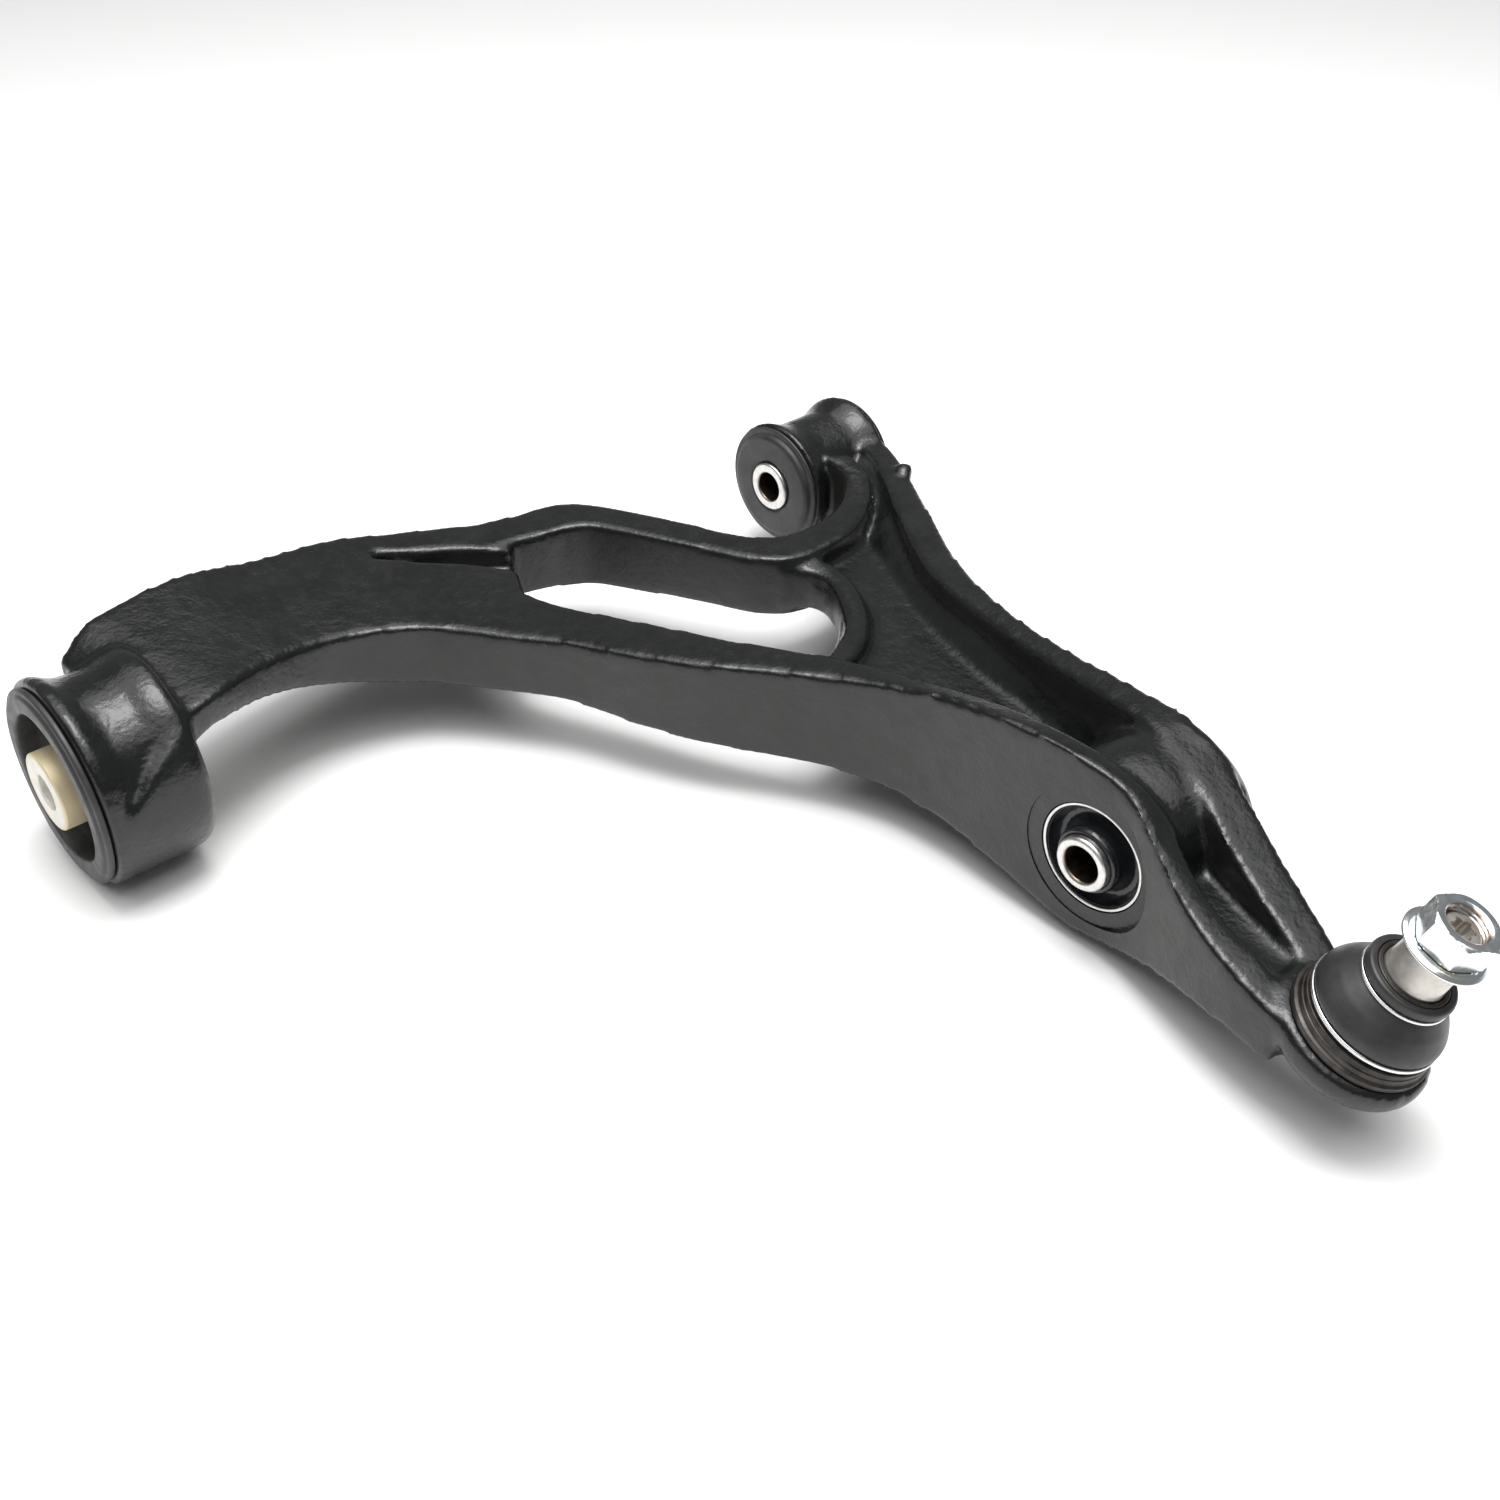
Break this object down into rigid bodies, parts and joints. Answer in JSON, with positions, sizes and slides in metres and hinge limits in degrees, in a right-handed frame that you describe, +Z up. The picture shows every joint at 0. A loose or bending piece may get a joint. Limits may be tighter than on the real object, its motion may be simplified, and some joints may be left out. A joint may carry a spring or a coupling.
{
  "type": "control arm",
  "caption": "Cast two-leg lower suspension arm with a fluid-filled bush, a small bush, a shock-absorber bush and a pressed-in ball joint with boot and lock nut.",
  "frame": {"origin": "middle of the bottom of the whole arm's box, stud upright side up", "axes": "+X along the pivot axis from the large bush to the small bush, +Y from the ball joint towards the pivot axis, +Z up along the stud's general direction"},
  "size_m": [0.4314, 0.4916, 0.0968],
  "materials": {
    "casting_paint": "gloss black coat on a rough casting",
    "rubber_black": "matte moulded rubber",
    "rubber_gloss": "smooth shiny moulded rubber",
    "core_alloy": "fine turned face, off-white",
    "shell_steel": "drawn steel tube",
    "sleeve_steel": "bright turned steel",
    "housing_steel": "dark brownish phosphate coat on turned steel",
    "stud_steel": "ground steel",
    "seat_plastic": "natural acetal",
    "zinc_plate": "bright zinc plate with a blue and straw tint"
  },
  "bodies": {
    "arm": {"arm_body": "casting_paint", "hydro_shell": "shell_steel", "hydro_rubber": "rubber_black", "small_shell": "shell_steel", "small_rubber": "rubber_black", "shock_shell": "shell_steel", "shock_rubber": "rubber_gloss", "joint_housing": "housing_steel", "ball_seat": "seat_plastic", "closing_cap": "housing_steel", "boot_lower_clamp": "sleeve_steel"},
    "large_core": {"hydro_core": "core_alloy"},
    "small_core": {"small_sleeve": "sleeve_steel"},
    "shock_core": {"shock_sleeve": "sleeve_steel"},
    "boot": {"dust_boot": "rubber_black"},
    "boot_neck": {"boot_neck_collar": "housing_steel", "boot_upper_clamp": "sleeve_steel"},
    "stud": {"ball_stud": "stud_steel"},
    "washer": {"nut_washer": "zinc_plate"},
    "nut": {"lock_nut": "zinc_plate"}
  },
  "joints": [
    {"name": "large_bush_twist", "type": "hinge", "parent": "arm", "child": "large_core", "pos_m": [-0.18865, 0.17984, 0.0426], "axis": [1, 0, 0], "range_deg": [-18, 18], "stiffness_Nm_per_rad": 25},
    {"name": "small_bush_twist", "type": "hinge", "parent": "arm", "child": "small_core", "pos_m": [0.18535, 0.17984, 0.0426], "axis": [1, 0, 0], "range_deg": [-18, 18], "stiffness_Nm_per_rad": 20},
    {"name": "shock_bush_twist", "type": "hinge", "parent": "arm", "child": "shock_core", "pos_m": [0.06735, -0.10886, 0.0426], "axis": [1, 0, 0], "range_deg": [-12, 12], "stiffness_Nm_per_rad": 20},
    {"name": "ball_tilt_swing", "type": "hinge", "parent": "arm", "child": "boot", "pos_m": [0.04061, -0.21473, 0.03553], "axis": [0.9962, 0.0303, -0.0816], "range_deg": [-17, 17], "deforming": ["dust_boot"]},
    {"name": "ball_tilt_side", "type": "hinge", "parent": "boot", "child": "boot_neck", "pos_m": [0.04061, -0.21473, 0.03553], "axis": [0, 0.9374, 0.3482], "range_deg": [-17, 17], "deforming": ["dust_boot"]},
    {"name": "stud_spin", "type": "hinge", "parent": "boot_neck", "child": "stud", "pos_m": [0.04061, -0.21473, 0.03553], "axis": [0.0871, -0.3469, 0.9339], "continuous": true},
    {"name": "nut_travel", "type": "slide", "parent": "stud", "child": "washer", "axis": [0.0871, -0.3469, 0.9339], "range_m": [0, 0.009]},
    {"name": "nut_spin", "type": "hinge", "parent": "washer", "child": "nut", "pos_m": [0.04541, -0.2338, 0.08689], "axis": [0.0871, -0.3469, 0.9339], "range_deg": [0, 2160]}
  ],
  "couplings": [
    {"joint": "nut_travel", "follows": "nut_spin", "m_per_rad": 0.00023873}
  ]
}
